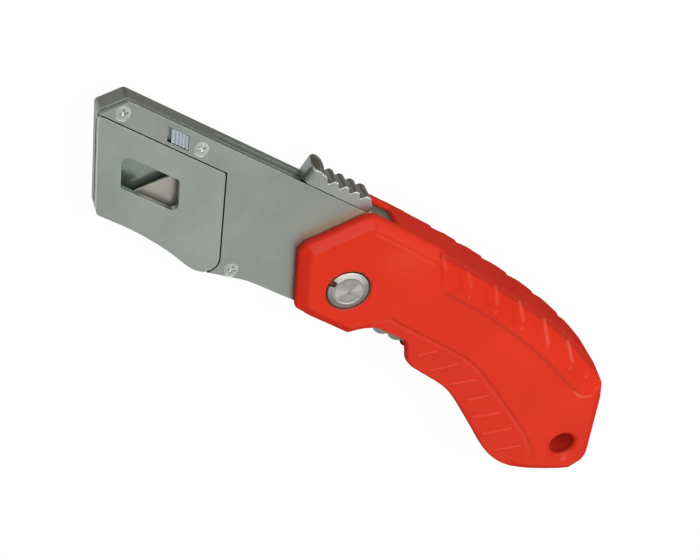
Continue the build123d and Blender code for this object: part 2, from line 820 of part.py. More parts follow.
# --- set the knife down: back face on z = 0, middle of the whole at the origin -----------------
pieces = [
    handle_casting,
    pivot_barrel,
    pivot_screw,
    pivot_washers,
    lock_liner,
    liner_screws,
    head_body,
    head_cover,
    cover_screws,
    tang_bush,
    door_pin,
    blade_door,
    latch_button,
    latch_spring,
    blade_carrier,
    blade,
    detent_ball,
    detent_leaf,
    thumb_slider,
    slider_rivets,
]
corners = [piece.part.bounding_box() for piece in pieces]
left = min(box.min.X for box in corners)
right = max(box.max.X for box in corners)
lowest = min(box.min.Y for box in corners)
highest = max(box.max.Y for box in corners)
back_face = min(box.min.Z for box in corners)
set_down = Location((-(left + right) / 2, -(lowest + highest) / 2, -back_face))
for piece in pieces:
    piece.part.move(set_down)

export_step(handle_casting.part, "parts/handle_casting.step")
export_step(pivot_barrel.part, "parts/pivot_barrel.step")
export_step(pivot_screw.part, "parts/pivot_screw.step")
export_step(pivot_washers.part, "parts/pivot_washers.step")
export_step(lock_liner.part, "parts/lock_liner.step")
export_step(liner_screws.part, "parts/liner_screws.step")
export_step(head_body.part, "parts/head_body.step")
export_step(head_cover.part, "parts/head_cover.step")
export_step(cover_screws.part, "parts/cover_screws.step")
export_step(tang_bush.part, "parts/tang_bush.step")
export_step(door_pin.part, "parts/door_pin.step")
export_step(blade_door.part, "parts/blade_door.step")
export_step(latch_button.part, "parts/latch_button.step")
export_step(latch_spring.part, "parts/latch_spring.step")
export_step(blade_carrier.part, "parts/blade_carrier.step")
export_step(blade.part, "parts/blade.step")
export_step(detent_ball.part, "parts/detent_ball.step")
export_step(detent_leaf.part, "parts/detent_leaf.step")
export_step(thumb_slider.part, "parts/thumb_slider.step")
export_step(slider_rivets.part, "parts/slider_rivets.step")
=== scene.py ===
import json
import math
from contextlib import contextmanager

import bmesh
import bpy
import numpy as np
from mathutils import Matrix, Vector


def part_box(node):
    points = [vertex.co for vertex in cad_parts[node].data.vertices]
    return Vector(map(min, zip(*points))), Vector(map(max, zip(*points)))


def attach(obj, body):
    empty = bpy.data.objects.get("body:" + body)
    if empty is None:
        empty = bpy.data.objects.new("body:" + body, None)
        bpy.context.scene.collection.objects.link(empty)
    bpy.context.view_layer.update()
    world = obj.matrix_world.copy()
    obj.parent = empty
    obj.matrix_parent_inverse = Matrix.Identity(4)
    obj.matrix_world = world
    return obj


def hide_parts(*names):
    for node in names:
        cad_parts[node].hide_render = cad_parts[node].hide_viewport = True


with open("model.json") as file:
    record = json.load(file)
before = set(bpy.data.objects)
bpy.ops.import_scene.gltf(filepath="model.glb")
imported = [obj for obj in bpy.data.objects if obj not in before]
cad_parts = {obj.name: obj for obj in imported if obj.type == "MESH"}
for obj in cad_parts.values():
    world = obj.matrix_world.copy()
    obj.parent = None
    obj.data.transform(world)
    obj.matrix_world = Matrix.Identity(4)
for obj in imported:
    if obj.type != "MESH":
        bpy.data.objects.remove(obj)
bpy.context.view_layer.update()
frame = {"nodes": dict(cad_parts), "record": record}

MM = 0.001
WELD = 2e-6  # metres: points nearer than this are one
FLAT_TURN = 0.5  # degrees: faces that turn by less are one flat face
SHARP_TURN = 25.0  # degrees: edges that turn by more are eased
JOINTS = {joint["name"]: joint for joint in frame["record"]["behaviour"]["joints"]}
PIVOT = np.array(JOINTS["head_fold"]["pos_m"])


# --- places and meshes -------------------------------------------------------------------------
def place(points):
    """Millimetres about the pivot axis, with z = 0 in the blade's plane, to the row frame."""
    return np.asarray(points, float) * MM + PIVOT


def local(points):
    """The way back from place: the row frame to millimetres about the pivot axis."""
    return (np.asarray(points, float) - PIVOT) / MM


def vectors(items, key):
    """One vector for each of a mesh's vertices or faces, such as its place or its normal."""
    flat = np.empty(len(items) * 3)
    items.foreach_get(key, flat)
    return flat.reshape(-1, 3)


def step(low, high, value):
    """Smooth rise from 0 at low to 1 at high: t*t*(3 - 2t)."""
    t = np.clip((value - low) / (high - low), 0.0, 1.0)
    return t * t * (3.0 - 2.0 * t)


def within(value, low, high):
    """True where a value lies between low and high."""
    return (value > low) & (value < high)


def grid_mesh(name, points, closed_u=False, closed_v=False):
    """A (rows, columns, 3) array of points becomes a mesh of quads; either way may close."""
    rows, cols = points.shape[:2]
    last_u = rows if closed_u else rows - 1
    last_v = cols if closed_v else cols - 1
    u, v = np.meshgrid(np.arange(last_u), np.arange(last_v), indexing="ij")
    un, vn = (u + 1) % rows, (v + 1) % cols
    faces = np.stack([u * cols + v, un * cols + v, un * cols + vn, u * cols + vn], -1)
    mesh = bpy.data.meshes.new(name)
    mesh.from_pydata(points.reshape(-1, 3).tolist(), [], faces.reshape(-1, 4).tolist())
    return mesh


@contextmanager
def edited(mesh):
    """A mesh opened for editing, and written back at the end of the block."""
    work = bmesh.new()
    work.from_mesh(mesh)
    yield work
    work.to_mesh(mesh)
    work.free()


def closed(mesh, recalc=True):
    """Merges doubled points, so that seams and poles close, and turns the faces outwards, unless
    they already point the right way."""
    with edited(mesh) as work:
        bmesh.ops.remove_doubles(work, verts=work.verts, dist=WELD)
        bmesh.ops.dissolve_degenerate(work, edges=work.edges, dist=WELD / 2)
        if recalc:
            bmesh.ops.recalc_face_normals(work, faces=work.faces)
    return mesh


def joined(mesh, others):
    """A mesh with the faces of other meshes added, and closed."""
    with edited(mesh) as work:
        for other in others:
            work.from_mesh(other)
            bpy.data.meshes.remove(other)
    return closed(mesh)


def stand_in(name, mesh, node, body, material, angle=35.0):
    """Shows a mesh for the CAD node it stands for, riding on its body. Edges that turn by more
    than angle degrees are shaded sharp, and flat faces flat. Angle 0 shades it smooth all over."""
    piece = bpy.data.objects.new(name, mesh)
    bpy.context.collection.objects.link(piece)
    mesh.materials.clear()
    mesh.materials.append(material)
    mesh.shade_smooth()
    if angle:
        mesh.set_sharp_from_angle(angle=math.radians(angle))
        weighted = piece.modifiers.new("flat_faces", "WEIGHTED_NORMAL")
        weighted.mode = "FACE_AREA"
        weighted.weight = 100
        weighted.keep_sharp = True
    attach(piece, body)
    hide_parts(node)


def merged_copy(node):
    """The CAD node's mesh with its loose triangles joined."""
    return closed(frame["nodes"][node].data.copy(), recalc=False)


def eased_copy(node, width, keep):
    """The CAD node with its flat faces whole again and each sharp edge rounded by width, apart
    from those whose middle, in millimetres, is one to keep sharp."""
    mesh = merged_copy(node)
    with edited(mesh) as work:
        bmesh.ops.dissolve_limit(
            work,
            angle_limit=math.radians(FLAT_TURN),
            use_dissolve_boundaries=False,
            verts=work.verts,
            edges=work.edges,
            delimit={"NORMAL"},
        )
        sharp = [
            edge
            for edge in work.edges
            if len(edge.link_faces) == 2
            and edge.calc_face_angle(0.0) > math.radians(SHARP_TURN)
            and not keep(local(np.mean([vertex.co[:] for vertex in edge.verts], axis=0)))
        ]
        bmesh.ops.bevel(
            work,
            geom=sharp,
            offset=width * MM,
            segments=2,
            profile=0.6,
            affect="EDGES",
            clamp_overlap=True,
            loop_slide=True,
        )
    return mesh


def cast_copy(node, voxel, rounds):
    """The CAD node as an even net of small quads, its sharp edges eased as a casting's are."""
    mesh = merged_copy(node)
    mould = bpy.data.objects.new("mould", mesh)
    bpy.context.collection.objects.link(mould)
    net = mould.modifiers.new("net", "REMESH")
    net.mode = "VOXEL"
    net.voxel_size = voxel * MM
    smooth = mould.modifiers.new("smooth", "SMOOTH")
    smooth.factor = 0.5
    smooth.iterations = rounds
    shown = bpy.context.evaluated_depsgraph_get()
    result = bpy.data.meshes.new_from_object(mould.evaluated_get(shown))
    bpy.data.objects.remove(mould)
    return result


# --- shader helpers ----------------------------------------------------------------------------
class Nodes:
    """Shorthand for building one node tree. Colours are given as (red, green, blue)."""

    def __init__(self, tree):
        self.tree = tree

    def add(self, kind, inputs=None, **settings):
        """A node with its settings, and each input linked to a socket or set to a value."""
        node = self.tree.nodes.new(kind)
        for key, value in settings.items():
            setattr(node, key, value)
        for key, value in (inputs or {}).items():
            if isinstance(value, bpy.types.NodeSocket):
                self.tree.links.new(value, node.inputs[key])
            else:
                node.inputs[key].default_value = value
        return node

    def math(self, operation, a, b=0.0):
        """One operation on two numbers."""
        return self.add("ShaderNodeMath", {0: a, 1: b}, operation=operation).outputs[0]

    def dot(self, a, b):
        """The dot product of two vectors."""
        node = self.add("ShaderNodeVectorMath", {0: a, 1: b}, operation="DOT_PRODUCT")
        return node.outputs["Value"]

    def mix(self, factor, a, b):
        """Colour a where factor is 0, b where it is 1, and their blend between."""
        a, b = ((*colour, 1) if isinstance(colour, tuple) else colour for colour in (a, b))
        return self.add("ShaderNodeMix", {0: factor, 6: a, 7: b}, data_type="RGBA").outputs[2]

    def blend(self, value, low, high):
        """A straight ramp, level past its ends: low and high pair a value with its result."""
        ends = {"From Min": low[0], "From Max": high[0], "To Min": low[1], "To Max": high[1]}
        return self.add("ShaderNodeMapRange", {"Value": value, **ends}).outputs[0]

    def spot(self):
        """The place on the object."""
        return self.add("ShaderNodeTexCoord").outputs["Object"]

    def noise(self, spot, scale, detail, roughness=0.5):
        """Noise from 0 to 1, with about scale swells in a metre."""
        inputs = {"Vector": spot, "Scale": scale, "Detail": detail, "Roughness": roughness}
        return self.add("ShaderNodeTexNoise", inputs).outputs[0]

    def bump(self, height, strength, depth):
        """The normal of a surface whose height from 0 to 1 is worth depth millimetres."""
        inputs = {"Height": height, "Strength": strength, "Distance": depth * MM}
        return self.add("ShaderNodeBump", inputs).outputs[0]


def group(name, inputs, outputs):
    """A shader node group of numbers: its tree, its nodes, what comes in and what goes out."""
    tree = bpy.data.node_groups.new(name, "ShaderNodeTree")
    for way, labels in (("INPUT", inputs), ("OUTPUT", outputs)):
        for label in labels:
            tree.interface.new_socket(label, in_out=way, socket_type="NodeSocketFloat")
    n = Nodes(tree)
    return tree, n, n.add("NodeGroupInput").outputs, n.add("NodeGroupOutput").inputs


def make_blast():
    """Bead-blasted metal: close grain for the bump and slow clouds for tone and gloss."""
    tree, n, given, out = group("blast", ["Grain", "Cloud"], ["Height", "Tone"])
    spot = n.spot()
    tree.links.new(n.noise(spot, given["Grain"], 3.0), out["Height"])
    tree.links.new(n.noise(spot, given["Cloud"], 4.0, 0.6), out["Tone"])
    return tree


def make_scuffs():
    """Handling marks: hair-fine scratches in two directions, kept where slow noise allows."""
    tree, n, given, out = group("scuffs", ["Amount"], ["Mask"])
    spot = n.spot()
    masks = []
    for turn, stretch in ((0.35, 90.0), (-0.9, 70.0)):
        inputs = {"Vector": spot, "Rotation": (0.0, 0.0, turn), "Scale": (stretch, 5200.0, 900.0)}
        hairs = n.noise(n.add("ShaderNodeMapping", inputs).outputs[0], 1.0, 1.0)
        masks.append(n.blend(hairs, (0.70, 0.0), (0.78, 1.0)))
    where = n.blend(n.noise(spot, 90.0, 2.0), (0.45, 0.0), (0.65, 1.0))
    kept = n.math("MULTIPLY", n.math("MAXIMUM", *masks), where)
    tree.links.new(n.math("MULTIPLY", kept, given["Amount"]), out["Mask"])
    return tree


def make_edge_wear():
    """Worn edges: where the rounded normal leaves the true one, broken up by noise."""
    tree, n, given, out = group("edge_wear", ["Radius", "Amount"], ["Mask"])
    rounded = n.add("ShaderNodeBevel", {"Radius": given["Radius"]}, samples=4).outputs[0]
    true = n.add("ShaderNodeNewGeometry").outputs["Normal"]
    edge = n.blend(n.dot(rounded, true), (0.995, 0.0), (0.90, 1.0))
    patches = n.blend(n.noise(n.spot(), 700.0, 4.0), (0.35, 0.2), (0.6, 1.0))
    broken = n.math("MULTIPLY", edge, patches)
    tree.links.new(n.math("MULTIPLY", broken, given["Amount"]), out["Mask"])
    return tree


def make_facing():
    """Which way the metal faces: Up is 1 where it faces the spine side (+Y), Out where it faces
    the show side, Front where it faces the nose, and Crest where an eased edge faces both up and
    to a side. The steels paint shade by Up and Front, and a highlight by Crest."""
    tree, n, _, out = group("facing", [], ["Up", "Out", "Front", "Crest"])
    normal = n.add("ShaderNodeTexCoord").outputs["Normal"]
    x, y, z = n.add("ShaderNodeSeparateXYZ", {"Vector": normal}).outputs
    both = n.math("MULTIPLY", y, n.math("ABSOLUTE", z))
    tree.links.new(n.blend(y, (0.38, 0.0), (0.72, 1.0)), out["Up"])
    tree.links.new(n.blend(z, (0.80, 0.0), (0.95, 1.0)), out["Out"])
    tree.links.new(n.blend(x, (-0.35, 0.0), (-0.85, 1.0)), out["Front"])
    tree.links.new(n.blend(both, (0.31, 0.0), (0.42, 1.0)), out["Crest"])
    return tree


BLAST = make_blast()
SCUFFS = make_scuffs()
EDGE_WEAR = make_edge_wear()
FACING = make_facing()

GRAIN, CLOUD = 2600.0, 55.0  # swells in a metre of blasted steel
CRISP = (0.35, 0.0), (0.65, 1.0)  # how clouds go from a dark to a light tone
SOFT = (0.3, 0.0), (0.7, 1.0)
STEEL_RUB, ENAMEL_RUB = 0.00035, 0.0006  # how wide worn edges are, in metres
EDGE_LIFT = 1.35  # how much lighter than the light tone rubbed edges are
BLAST_DEPTH, ENAMEL_DEPTH, RING_DEPTH = 0.05, 0.03, 0.01  # bumps, in millimetres

# painted highlight along the body's and the slider's eased near edges
BODY_CREST_HIGHLIGHT = (0.9, 0.9, 0.88)
# painted highlight along the plates' eased edges
PLATE_CREST_HIGHLIGHT = (0.88, 0.94, 0.92)
# painted shade on the plates' walls that face the spine side
PLATE_WALL_SHADE = (0.035, 0.05, 0.04)
# painted reflection of the red handle: amber, lighter than the shade by its front edge
HANDLE_REFLECTION_TONE = (0.58, 0.48, 0.21)
# painted shade in the enamel's creases and hollows
RED_SHADE = (0.40, 0.016, 0.006)
# painted highlight on the enamel, also the tone of its worn edges
RED_WEAR_AND_HIGHLIGHT = (0.93, 0.16, 0.10)
RING_DARK, RING_LIGHT = (0.46, 0.445, 0.415), (0.60, 0.585, 0.55)

SLOT_FLOOR = 15.0  # Y above which the slot along the spine lies
TINT_FOOT = (-16.1, 3.7, 0.0)  # where the handle's slanted front edge starts
TINT_AHEAD, TINT_ALONG = (-0.83, 0.56, 0.0), (0.56, 0.83, 0.0)
TINT_RISE = (-2.0 * MM, 0.0), (5.0 * MM, 1.0)  # how the tint comes up along the edge


def lifted(colour, factor):
    """A colour times a factor, at most 1."""
    return tuple(min(1.0, factor * part) for part in colour)


def use(n, tree, **inputs):
    """The outputs of a node group placed in a material with its own values."""
    node = n.add("ShaderNodeGroup", node_tree=tree)
    for key, value in inputs.items():
        node.inputs[key].default_value = value
    return node.outputs


def new_material(name):
    """A material whose tree holds only its shader: the material, its nodes and the shader."""
    material = bpy.data.materials.new(name)
    material.use_nodes = True
    tree = material.node_tree
    tree.nodes.clear()
    n = Nodes(tree)
    shader = n.add("ShaderNodeBsdfPrincipled")
    tree.links.new(shader.outputs[0], n.add("ShaderNodeOutputMaterial").inputs[0])
    return material, n, shader


def shade(n, shader, colour, roughness, normal, **values):
    """Links what changes over the surface, and sets the values that don't."""
    for key, socket in (("Base Color", colour), ("Roughness", roughness), ("Normal", normal)):
        n.tree.links.new(socket, shader.inputs[key])
    for key, value in values.items():
        shader.inputs[key.replace("_", " ")].default_value = value


def finish_steel(n, shader, blast, tone, rubbed, gloss, wear, metal=1.0):
    """What all the steels share: scuffs, edges rubbed brighter and a fine blasted bump. Gloss is
    a roughness, or its least and most over the clouds."""
    if isinstance(gloss, tuple):
        gloss = n.blend(blast["Tone"], (0.3, gloss[0]), (0.7, gloss[1]))
    scuff = use(n, SCUFFS, Amount=wear)["Mask"]
    worn = use(n, EDGE_WEAR, Radius=STEEL_RUB, Amount=0.8)["Mask"]
    tone = n.mix(n.math("MAXIMUM", worn, n.math("MULTIPLY", scuff, 0.5)), tone, rubbed)
    relief = n.bump(n.math("SUBTRACT", blast["Height"], scuff), 0.5, BLAST_DEPTH)
    shade(n, shader, tone, gloss, relief, Metallic=metal)


def satin_steel(name, dark, light, gloss=(0.34, 0.46), grain=GRAIN, edge=EDGE_LIFT, metal=1.0):
    """Blasted and plated steel of one cloudy tone, whose rubbed edges are lighter by edge."""
    material, n, shader = new_material(name)
    blast = use(n, BLAST, Grain=grain, Cloud=CLOUD)
    tone = n.mix(n.blend(blast["Tone"], *CRISP), dark, light)
    finish_steel(n, shader, blast, tone, lifted(light, edge), gloss, 0.6, metal)
    return material


def two_tone_steel(name, dark, light, top, front, gloss, crest, inner=None):
    """Blasted steel whose spine side is painted dark as shade, in the top colour. Front is how far
    the faces towards the nose are painted darker as shade, crest paints a bright highlight along
    its near edges, and inner is the tone of the faces that look out at the show side, such as a
    cavity's floor, which are smoother and only partly metallic, least of all in the slot along
    the spine."""
    material, n, shader = new_material(name)
    blast = use(n, BLAST, Grain=GRAIN, Cloud=CLOUD)
    facing = use(n, FACING)
    cloud = n.blend(blast["Tone"], *CRISP)
    tone = n.mix(cloud, dark, light)
    # painted shade: the faces towards the nose go darker by front
    tone = n.mix(n.math("MULTIPLY", facing["Front"], front), tone, lifted(dark, 0.45))
    # painted shade on the spine side, in the top colour
    tone = n.mix(facing["Up"], tone, n.mix(cloud, lifted(top, 0.85), lifted(top, 1.15)))
    # painted highlight along the eased near edges, by crest
    tone = n.mix(n.math("MULTIPLY", facing["Crest"], crest), tone, BODY_CREST_HIGHLIGHT)
    if inner:
        tone = n.mix(facing["Out"], tone, inner)
        rough = n.blend(blast["Tone"], (0.3, gloss[0]), (0.7, gloss[1]))
        gloss = n.math("MULTIPLY", rough, n.blend(facing["Out"], (0.0, 1.0), (1.0, 0.55)))
        up = n.add("ShaderNodeSeparateXYZ", {"Vector": n.spot()}).outputs[1]
        slot = place((0.0, SLOT_FLOOR, 0.0))[1]
        dull = n.math("MULTIPLY", facing["Out"], n.blend(up, (slot, 0.2), (slot + MM, 0.65)))
        n.tree.links.new(n.math("SUBTRACT", 1.0, dull), shader.inputs["Metallic"])
    finish_steel(n, shader, blast, tone, lifted(light, EDGE_LIFT), gloss, 0.5)
    return material


def plate_steel(name, dark, light, side, crest, reflection_tint=0.0):
    """The cover plates' blasted steel, with shade painted by side on the walls that face the spine
    side and a highlight painted along their eased edges by crest. The last argument is how
    strongly a painted amber reflection of the red handle, lighter than the shade there, shows
    along the handle's slanted front edge: it fades over five millimetres ahead of the edge, and
    over four millimetres under the handle."""
    material, n, shader = new_material(name)
    blast = use(n, BLAST, Grain=GRAIN, Cloud=CLOUD)
    facing = use(n, FACING)
    tone = n.mix(n.blend(blast["Tone"], *CRISP), dark, light)
    # painted shade on the walls that face the spine side, by side
    tone = n.mix(n.math("MULTIPLY", facing["Up"], side), tone, PLATE_WALL_SHADE)
    # painted amber reflection of the red handle along its slanted front edge
    if reflection_tint:
        foot = tuple(-part for part in place(TINT_FOOT))
        near = n.add("ShaderNodeMapping", {"Vector": n.spot(), "Location": foot}).outputs[0]
        ahead, along = n.dot(near, TINT_AHEAD), n.dot(near, TINT_ALONG)
        shown = n.blend(ahead, (5.5 * MM, 0.0), (0.3 * MM, 1.0))
        under = n.blend(ahead, (-4.0 * MM, 0.0), (-0.5 * MM, 1.0))
        fade = n.math("MULTIPLY", n.math("MULTIPLY", shown, under), n.blend(along, *TINT_RISE))
        amber = n.math("MULTIPLY", fade, n.blend(blast["Tone"], (0.3, 0.7 * reflection_tint), (0.7, reflection_tint)))
        tone = n.mix(amber, tone, HANDLE_REFLECTION_TONE)
        n.tree.links.new(n.blend(amber, (0.0, 1.0), (0.8, 0.25)), shader.inputs["Metallic"])
    # painted highlight along the eased edges, by crest
    tone = n.mix(n.math("MULTIPLY", facing["Crest"], crest), tone, PLATE_CREST_HIGHLIGHT)
    finish_steel(n, shader, blast, tone, lifted(light, EDGE_LIFT), (0.40, 0.50), 0.6)
    return material


def red_coat(name, dark, light, level):
    """Satin red enamel on a casting: soft orange peel and faint mottling. Its painted highlight
    attribute lightens it, and its painted shade attribute darkens it in the creases and hollows;
    its worn edges are lighter too. Level is how strongly it reflects."""
    material, n, shader = new_material(name)
    spot = n.spot()
    peel = n.noise(spot, 1100.0, 2.0)
    cloud = n.noise(spot, 45.0, 3.0)
    worn = use(n, EDGE_WEAR, Radius=ENAMEL_RUB, Amount=0.55)["Mask"]
    scuff = use(n, SCUFFS, Amount=0.35)["Mask"]
    painted_shade, painted_highlight = (
        n.add("ShaderNodeAttribute", attribute_name=mark).outputs["Fac"] for mark in ("painted_shade", "painted_highlight")
    )
    tone = n.mix(n.blend(cloud, *SOFT), dark, light)
    # painted shade in creases and hollows
    tone = n.mix(painted_shade, tone, RED_SHADE)
    # painted highlights, patchy, then mixed with the real wear of the edges
    patchy = n.math("MULTIPLY", painted_highlight, n.blend(cloud, (0.3, 0.75), (0.6, 1.0)))
    pale = n.math("MAXIMUM", patchy, n.math("MULTIPLY", worn, 0.3))
    tone = n.mix(pale, tone, RED_WEAR_AND_HIGHLIGHT)
    rough = n.blend(cloud, (0.3, 0.30), (0.7, 0.38))
    height = n.math("SUBTRACT", peel, n.math("MULTIPLY", scuff, 0.6))
    relief = n.bump(height, 0.3, ENAMEL_DEPTH)
    shade(n, shader, tone, rough, relief, Metallic=0.0, IOR=1.5, Specular_IOR_Level=level)
    return material


def turned_steel(name):
    """Lathe-turned steel. Its UV map runs round the axis in U and outwards in V: fine rings in V
    bump it, and the gloss is stretched round the rings, which makes the fan of light."""
    material, n, shader = new_material(name)
    around = n.add("ShaderNodeUVMap", uv_map="turning").outputs[0]
    outwards = n.add("ShaderNodeSeparateXYZ", {"Vector": around}).outputs[1]
    rings = {"W": n.math("MULTIPLY", outwards, 90.0)}
    fine = n.add("ShaderNodeTexNoise", rings, noise_dimensions="1D").outputs[0]
    cloud = n.noise(n.spot(), 500.0, 3.0)
    tone = n.mix(n.blend(cloud, *SOFT), RING_DARK, RING_LIGHT)
    rough = n.blend(fine, (0.3, 0.28), (0.7, 0.40))
    tangent = n.add("ShaderNodeTangent", direction_type="UV_MAP", uv_map="turning")
    n.tree.links.new(tangent.outputs[0], shader.inputs["Tangent"])
    relief = n.bump(fine, 0.5, RING_DEPTH)
    shade(n, shader, tone, rough, relief, Metallic=1.0, Anisotropic=0.9)
    return material


def moulded(name, dark, light):
    """Moulded plastic, or the dark brown painted shade of a recess, with a slight sheen."""
    material, n, shader = new_material(name)
    blast = use(n, BLAST, Grain=1800.0, Cloud=120.0)
    tone = n.mix(blast["Tone"], dark, light)
    rough = n.blend(blast["Tone"], (0.3, 0.42), (0.7, 0.58))
    shade(n, shader, tone, rough, n.bump(blast["Height"], 0.3, ENAMEL_DEPTH))
    return material


# --- finishes ----------------------------------------------------------------------------------
RED = red_coat("red_enamel", (0.76, 0.024, 0.004), (0.83, 0.030, 0.0055), 0.2)
RED_FLAT = red_coat("red_enamel_flat", (0.76, 0.034, 0.018), (0.83, 0.040, 0.022), 0.0)
# a darker copy of the enamel for the walls: painted shade, and matt with no reflection
RED_SIDES = red_coat("red_enamel_sides", (0.68, 0.040, 0.022), (0.78, 0.048, 0.026), 0.0)
# side, crest and the last argument paint shade on the spine-side walls, a highlight on the edges
# and the handle's amber reflection
PLATE = plate_steel("plate_steel", (0.37, 0.40, 0.365), (0.44, 0.47, 0.43), 0.85, 0.9, reflection_tint=0.9)
DOOR = plate_steel("door_steel", (0.41, 0.45, 0.41), (0.47, 0.51, 0.47), 0.0, 1.0)
BODY = two_tone_steel(
    "body_steel",
    dark=(0.30, 0.32, 0.30),
    light=(0.38, 0.40, 0.38),
    # top, front and crest paint shade on the spine side, shade towards the nose and a highlight on
    # the near edges
    top=(0.085, 0.086, 0.072),
    front=0.5,
    gloss=(0.38, 0.5),
    crest=0.7,
    inner=(0.31, 0.37, 0.34),
)
ZINC = two_tone_steel(
    "slider_zinc",
    dark=(0.40, 0.425, 0.395),
    light=(0.48, 0.50, 0.47),
    # top, front and crest paint shade on the spine side, shade towards the nose and a highlight on
    # the near edges
    top=(0.075, 0.068, 0.052),
    front=0.55,
    gloss=(0.36, 0.48),
    crest=0.8,
)
LATCH = satin_steel(
    "latch_zinc", (0.46, 0.53, 0.56), (0.58, 0.66, 0.70), gloss=(0.3, 0.4), edge=1.3, metal=0.7
)
BLADE = satin_steel(
    "blade_steel",
    dark=(0.43, 0.41, 0.355),
    light=(0.54, 0.51, 0.445),
    gloss=(0.28, 0.38),
    grain=900.0,
    edge=1.7,
    metal=0.7,
)
SCREW = satin_steel("screw_steel", (0.54, 0.58, 0.53), (0.66, 0.69, 0.64), gloss=(0.36, 0.48))
LINER = satin_steel("liner_steel", (0.26, 0.25, 0.22), (0.34, 0.33, 0.30), gloss=(0.3, 0.44))
TURNED = turned_steel("turned_steel")
BRASS = satin_steel("bush_brass", (0.55, 0.38, 0.14), (0.66, 0.48, 0.20))
PLASTIC = moulded("slide_plastic", (0.02, 0.02, 0.02), (0.035, 0.035, 0.035))
# painted shade: dark brown on the faces of the recess round the pivot's head
RECESS_SHADE = moulded("recess_painted_shade", (0.20, 0.045, 0.028), (0.30, 0.07, 0.04))

FINISH = {
    "handle_casting": RED,
    "pivot_barrel": TURNED,
    "pivot_screw": SCREW,
    "pivot_washers": PLASTIC,
    "liner_screws": SCREW,
    "head_body": BODY,
    "head_cover": PLATE,
    "cover_screws": SCREW,
    "tang_bush": BRASS,
    "door_pin": SCREW,
    "latch_spring": LINER,
    "blade_carrier": PLASTIC,
    "blade": BLADE,
    "detent_ball": LINER,
    "detent_leaf": LINER,
    "thumb_slider": ZINC,
    "slider_rivets": SCREW,
    "blade_door": DOOR,
    "latch_button": LATCH,
    "lock_liner": LINER,
}
for node, material in FINISH.items():
    data = frame["nodes"][node].data
    data.materials.clear()
    data.materials.append(material)


# --- handle ------------------------------------------------------------------------------------
# Lines and places on a cheek, as X and Y in millimetres about the pivot.
SPINE = np.array(
    [(2.2, 20.6), (15, 20.1), (30, 19), (45, 17.3), (60, 14.9), (70, 12.4), (81, 8.6), (88, 4)]
)
UPPER_EDGE = np.array(
    [(15, 20.6), (16, 19.1), (19.3, 15), (22.1, 11.7), (24.5, 10.5), (29.4, 10.1), (36.2, 9.7)]
    + [(42, 9), (48.9, 7.9), (58.2, 6.3), (68, 3.5), (76.8, 0.7), (80.9, -0.4), (83.3, -0.8)]
    + [(85.3, 0.5), (87, 3.8)]
)
LOWER_EDGE = np.array(
    [(9.5, -8), (12.1, -4.9), (15.8, -2.4), (20.8, -2.9), (31.5, -3.5), (42.5, -4.2)]
    + [(47.8, -5.5), (53, -7.5), (57.9, -9.8), (62.9, -12.1), (68, -14.4), (73.1, -16.9)]
    + [(77.8, -19.4), (82.6, -22.6), (85, -24.6)]
)
UPPER_RIBS = [  # both ends, and how strongly the rib stands up
    ((16.5, 19.1), (19.9, 16.2), 0.5),
    ((26.6, 17.8), (29.9, 14.6), 0.5),
    ((36.4, 17.4), (39.9, 13.7), 0.75),
    ((46.0, 16.2), (50.2, 12.4), 1.0),
    ((56.3, 14.6), (61.9, 9.2), 1.2),
    ((67.5, 11.7), (72.9, 7.2), 1.3),
]
RIB_ENDS = [(31.2, 12.0), (41.0, 11.3), (51.3, 10.1), (62.5, 8.3), (73.8, 5.3), (80.5, 4.8)]
CREASES = [
    ((22.6, 18.8), (28.0, 12.7)),
    ((33.2, 16.8), (37.5, 12.3)),
    ((44.3, 14.9), (48.7, 10.3)),
    ((52.8, 15.1), (57.7, 10.1)),
    ((64.4, 12.4), (68.1, 9.2)),
]
LOWER_RIBS = [
    ((30.6, -9.7), (34.0, -6.3)),
    ((37.2, -12.6), (42.4, -7.3)),
    ((45.6, -13.9), (50.8, -9.5)),
    ((53.6, -16.4), (57.5, -12.5)),
    ((59.0, -20.8), (64.9, -15.8)),
    ((65.7, -24.5), (71.6, -19.1)),
    ((73.0, -27.7), (78.5, -23.1)),
]
BAND_END = [(80.4, -0.9), (83.4, -1.4), (86, 0.2)]  # the upper band's rear end
FRONT_BEVEL = [(-3.7, 17.1), (6, 16.9), (16, 16.2)]  # the front bevel's inner line
LANYARD = (90.2, -17.4)  # the lanyard hole
LANYARD_SPOT = (93.9, -21.3)  # painted highlight behind the hole

# Heights and depths of the carving, in millimetres.
FACE = 7.8  # from the blade's plane to a cheek's flat
SHOW_RISE = 0.14  # the upper band over the flat, on the show side only
UPPER_FALL, UPPER_RIB, CREASE = 1.5, 0.24, 0.14
LOWER_DROP, LOWER_FALL, LOWER_RIB, GROOVE = 0.1, 1.35, 0.34, 0.12
DISH = 0.6  # round the lanyard hole
POCKET_DEPTH = 0.15  # added to the lock pocket
RECESS_RADIUS = 6.0
NET, NET_ROUNDS = 0.42, 4  # width of the casting's quads, and how often they are smoothed
CELL = 1.5  # width in X of the belly line's steps

# the last finish is a painted shade for the pivot's recess
HANDLE_FINISHES = [RED, RED_SIDES, RED_FLAT, RECESS_SHADE]
SHOWN, SIDE, FLAT, SHADED_RECESS = range(4)  # their places in that list


def away(x, y, points):
    """Distance from each place to a line of points: the least over its straight pieces."""
    nearest = np.full_like(x, 1e3)
    for (ax, ay), (bx, by) in zip(points, points[1:]):
        dx, dy = bx - ax, by - ay
        t = np.clip(((x - ax) * dx + (y - ay) * dy) / (dx * dx + dy * dy), 0.0, 1.0)
        nearest = np.minimum(nearest, np.hypot(x - ax - t * dx, y - ay - t * dy))
    return nearest


def line_at(line, x):
    """The Y of a line of points at each X."""
    return np.interp(x, line[:, 0], line[:, 1])


def from_point(x, y, point):
    """Distance from each place to one point."""
    return np.hypot(x - point[0], y - point[1])


